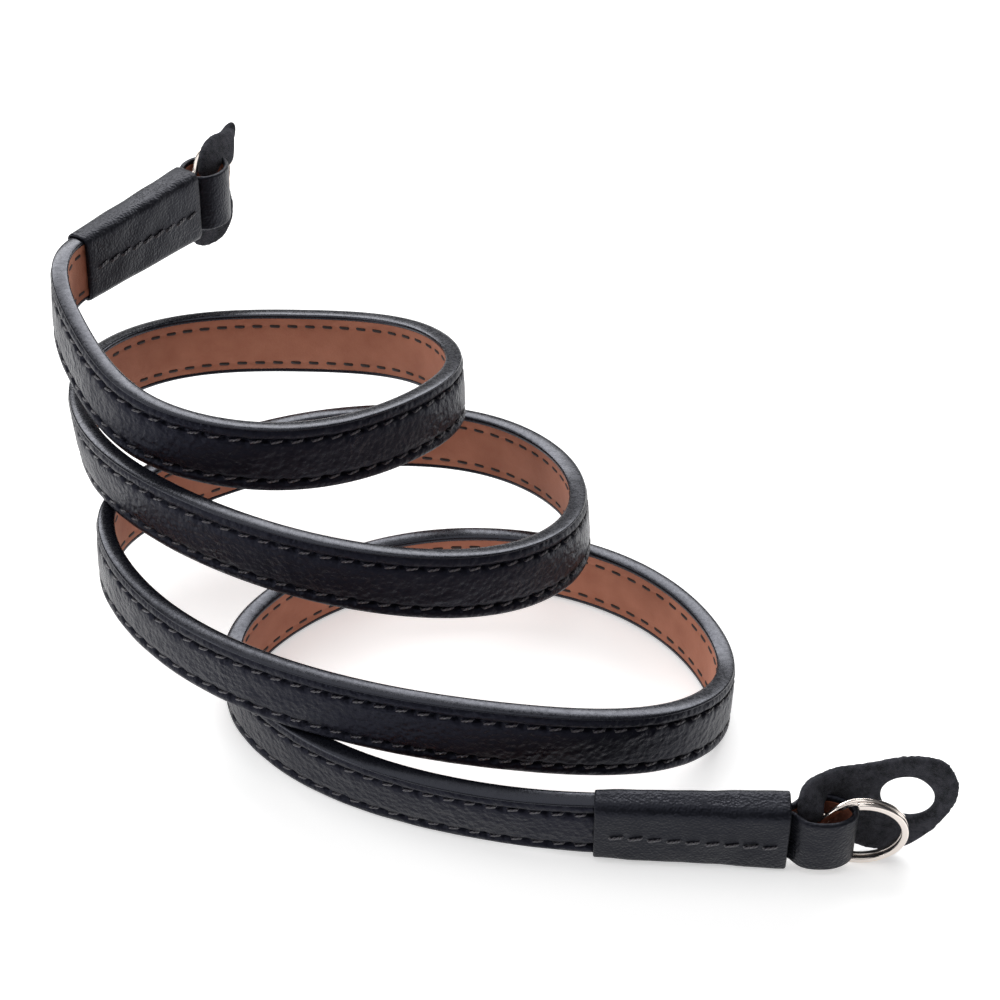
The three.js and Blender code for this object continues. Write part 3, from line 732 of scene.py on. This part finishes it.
for end in ENDS:
    for layer, (offset, half_thick, inset, material) in LAYERS.items():
        replaced = [f"end_loop_{end}"] if layer == "outer" else ()
        grid = loop_layer(end, offset, half_thick, inset)
        piece(f"loop_{layer}_{end}", grid, material, replaced)

# %% [markdown]
# ## Split rings
# Flat spring wire is wound nearly twice round. In the jog it steps from one coil to the other, and its
# cut end lies on the front coil. The wire's edges are rounded, so each coil carries two thin lights.

# %% Split rings
RINGS = {"near": (11.6, 0.45, 0.0, 0.0), "far": (8.7, 0.6, -2.0, 8.0)}  # along, up, across, yaw
TURN, JOG, CUT_AT = 670.0, 50.0, 100.0


def ring_grid(end):
    """(r cos t, r sin t, z): r and z trace the wire's rounded section, and z steps up in the jog."""
    along, up, side, yaw = RINGS[end]
    turn = np.linspace(0, TURN, 241)
    share = np.clip((turn - (360 - JOG)) / JOG, 0, 1)
    lift = (share * share * (3 - 2 * share) - 0.5) * 0.9
    t = np.radians(turn - (360 - JOG) + CUT_AT)[:, None]
    radial, height = rounded(0.55, 0.4, 0.2, 0.0, 4, 5, 3)
    r = 6.85 + radial
    x, y, z = r * np.cos(t), r * np.sin(t), lift[:, None] + height
    cos, sin = math.cos(math.radians(yaw)), math.sin(math.radians(yaw))
    return placed(end, along + cos * x + sin * z, up + y, side - sin * x + cos * z)


for end in ENDS:
    piece(f"nickel_ring_{end}", ring_grid(end), nickel, replaces=[f"split_ring_{end}"])

# %% [markdown]
# ## Lug tabs
# A tab is a thick piece of suede with a round hole for the camera's lug. It lies behind the ring, and
# its tail bends forwards over the end loop's rim and hangs on the ring. The pad is a surface between
# the hole and the outline, and the tail is a strip swept along its bend. Cut suede has no sharp
# edges, so both have thick round rims with a little unevenness.

# %% Lug tabs
PAD_OUTLINE = {
    "near": [(26.6, 5.5), (26, 9.5), (24, 12.2), (20.5, 13), (17, 12.2), (10.4, 9.4), (7.6, 8.2), (6.2, 6),
             (6.2, 1), (7.5, -3.5), (11, -6.8), (15, -7.7), (18.4, -7), (21.4, -4.7), (24.5, -0.2)],
    "far": [(18, -12), (17.8, -6), (17.2, -1), (18.2, 2.8), (20, 7.6), (17.5, 7), (14.6, 5.2), (12.2, 2),
            (10.4, -1), (8.2, -4.6), (7, -7.8), (5.8, -10.5), (7, -13.6), (10.5, -15.4), (14.5, -15.3)],
}
PAD = {  # back, yaw, pitch, hole along, hole up, hole radius
    "near": (6.1, -7.4, 8.0, 18.8, 4.5, 4.25),
    "far": (4.9, 0.0, 0.0, 12.6, -8.2, 3.6),
}
TAIL = {  # a, b, c of the middle, then the width's direction, then the width
    "near": [(12, 7.2, -6, 0.1, -1, 0, 3.6), (8.5, 6.9, -5.7, 0, -1, 0, 4.4),
             (5.4, 6.2, -4.4, 0.45, -0.85, 0.2, 4.4), (3.7, 6.3, -2.6, 0.85, -0.5, 0.1, 4.3),
             (3.2, 5.8, -1.1, 0.97, -0.2, 0, 4.2), (3.3, 4.2, -0.2, 1, 0, 0, 4.0),
             (3.5, 2.6, 0.2, 1, 0, 0, 3.4)],
    "far": [(18.3, 6.2, -4.4, 0, -1, 0, 2.6), (14.4, 5.2, -2, 0.05, -1, 0.05, 6.8),
            (10.5, 6.7, -1, 0.35, -0.9, 0.1, 6), (7.9, 6.9, -0.3, 0.75, -0.6, 0.1, 5.6),
            (6.4, 5.8, 0.2, 0.95, -0.3, 0, 5.6), (5.9, 3.5, 0.6, 1, -0.1, 0, 5.2)],
}
HALF_SUEDE = 0.9


def closed_spline(points, count):
    """A smooth closed curve: the cubic spline through the points and one lap more on each side."""
    laps = np.array(points * 3, float)
    stops = np.concatenate([[0], np.cumsum(np.linalg.norm(np.diff(laps, axis=0), axis=1) ** 0.5)])
    first, last = stops[len(points)], stops[2 * len(points)]
    return cubic(stops, laps)(first + (last - first) * np.arange(count) / count)


def pad_grid(end):
    """Rows run round the pad's section, hole to outline and back again; columns run round the hole.

    A row at share t sits at (1 - t) hole + t outline, and out at depth z. Both rims are half circles.
    """
    back, yaw, pitch, along, up, hole = PAD[end]
    outline = closed_spline(PAD_OUTLINE[end], 180)
    rim_wave = 0.13 * ripple(outline[:, 0], outline[:, 1], size=2.1, seed=6)[:, None]
    hole_centre = np.array([along, up])
    outward = unit(outline - hole_centre)
    arm = np.radians(np.linspace(90, -90, 9))
    share = np.linspace(0, 1, 14)
    half = HALF_SUEDE
    inner, outer = hole_centre + outward * (hole + half), outline + outward * (rim_wave - half)
    front = inner[None] * (1 - share)[:, None, None] + outer[None] * share[:, None, None]
    outer_rim = outer[None] + (half * np.cos(arm))[1:-1, None, None] * outward
    inner_rim = inner[None] - (half * np.cos(arm))[1:-1, None, None] * outward
    flat = np.concatenate([front, outer_rim, front[::-1], inner_rim[::-1]])
    rim_z = half * np.sin(arm)[1:-1]
    z = np.concatenate([np.full(14, half), rim_z, np.full(14, -half), rim_z[::-1]])
    z = z[:, None] + 0.12 * ripple(flat[..., 0], flat[..., 1], size=9, seed=1)
    x, y = flat[..., 0], flat[..., 1]
    tip, turn = math.radians(-pitch), math.radians(yaw)
    y, z = y * math.cos(tip) - z * math.sin(tip), y * math.sin(tip) + z * math.cos(tip)
    x, z = x * math.cos(turn) + z * math.sin(turn), -x * math.sin(turn) + z * math.cos(turn)
    return placed(end, x, y, z - back)


def tail_grid(end):
    """A rounded strip along the tail's spline; its width turns from up the strap to along it."""
    rows = np.array(TAIL[end], float)
    stops = np.concatenate([[0], np.cumsum(np.linalg.norm(np.diff(rows[:, :3], axis=0), axis=1) ** 0.5)])
    line = cubic(stops, rows)
    s = np.linspace(0, stops[-1], 61)
    values = line(s)
    heading = unit(line(s + 0.01)[:, :3] - line(s - 0.01)[:, :3])
    wide = unit(values[:, 3:6] - np.sum(values[:, 3:6] * heading, 1, keepdims=True) * heading)
    out = np.cross(heading, wide)
    end_round = np.sqrt(np.clip(1 - np.clip((s - stops[-1] + 0.9) / 0.92, 0, 1) ** 2, 0.01, 1))
    half_wide = values[:, 6] / 2 * (0.35 + 0.65 * end_round)
    across, depth = rounded(half_wide, HALF_SUEDE * end_round, 0.85, 0.05, 5, 9, 3)
    wave = 0.1 * ripple(s[:, None] * 2, across, size=1.6, seed=9)
    grid = values[:, None, :3] + (across + wave)[..., None] * wide[:, None]
    grid = grid + depth[..., None] * out[:, None]
    return placed(end, grid[..., 0], grid[..., 1], grid[..., 2])


for end in ENDS:
    piece(f"suede_pad_{end}", pad_grid(end), suede, replaces=[f"lug_tab_{end}"], ring=True)
    piece(f"suede_tail_{end}", tail_grid(end), suede)

# %% [markdown]
# ## Floor, light and camera
# The strap stands on white paper under soft, even studio light. A long softbox behind it is what the
# painted edges mirror. One overhead, one at the left and the glow of the paper keep the shadows faint.

# %% Floor, light and camera
WHITE = (1.0, 1.0, 1.0, 1.0)
GLOW = {"Emission Color": WHITE, "Emission Strength": 0.47}
paper, shader = finish("lit white paper", "#f6f6f6", 0.9, 0.0, **GLOW)
bpy.ops.mesh.primitive_plane_add(size=6.0, location=(0, 0, 0))
floor = bpy.context.object
floor.name = "paper_floor"
floor.data.materials.append(paper)

world = bpy.data.worlds.new("studio")
bpy.context.scene.world = world
world.use_nodes = True
sky = world.node_tree.nodes["Background"]
sky.inputs["Color"].default_value = WHITE
sky.inputs["Strength"].default_value = 0.16

LAMPS = (  # name, place, size, watts
    ("back softbox", (0.0, 0.75, 0.6), (1.5, 0.34), 11.5),
    ("top softbox", (-0.2, -0.1, 1.0), (1.2, 1.2), 5.2),
    ("left softbox", (-0.9, -0.35, 0.45), (0.5, 0.5), 3.0),
)
CAMERA_PLACE = np.array([0.0, -392.4, 285.1])
CAMERA_TILT = math.radians(54.0)


def softbox(name, place, size, watts):
    """A rectangular lamp that faces the strap. Its brightness is watts / (pi width height)."""
    lamp = bpy.data.lights.new(name, "AREA")
    lamp.shape = "RECTANGLE"
    lamp.size, lamp.size_y = size
    lamp.energy = watts
    holder = bpy.data.objects.new(name, lamp)
    bpy.context.scene.collection.objects.link(holder)
    x, y, z = place
    holder.location = place
    holder.rotation_euler = (math.atan2(math.hypot(x, y), z), 0, math.atan2(x, -y))


for lamp_row in LAMPS:
    softbox(*lamp_row)

camera = bpy.data.objects.new("camera", bpy.data.cameras.new("camera"))
bpy.context.scene.collection.objects.link(camera)
camera.data.lens = 90.29
camera.data.sensor_width = 36.0
camera.location = (CAMERA_PLACE + SHIFT) * MM
camera.rotation_euler = (CAMERA_TILT, 0, 0)
bpy.context.scene.camera = camera
bpy.context.scene.view_settings.view_transform = "Standard"

# %% Triangle count
print("triangles in all:", sum(len(p.vertices) - 2 for o in made for p in o.data.polygons))
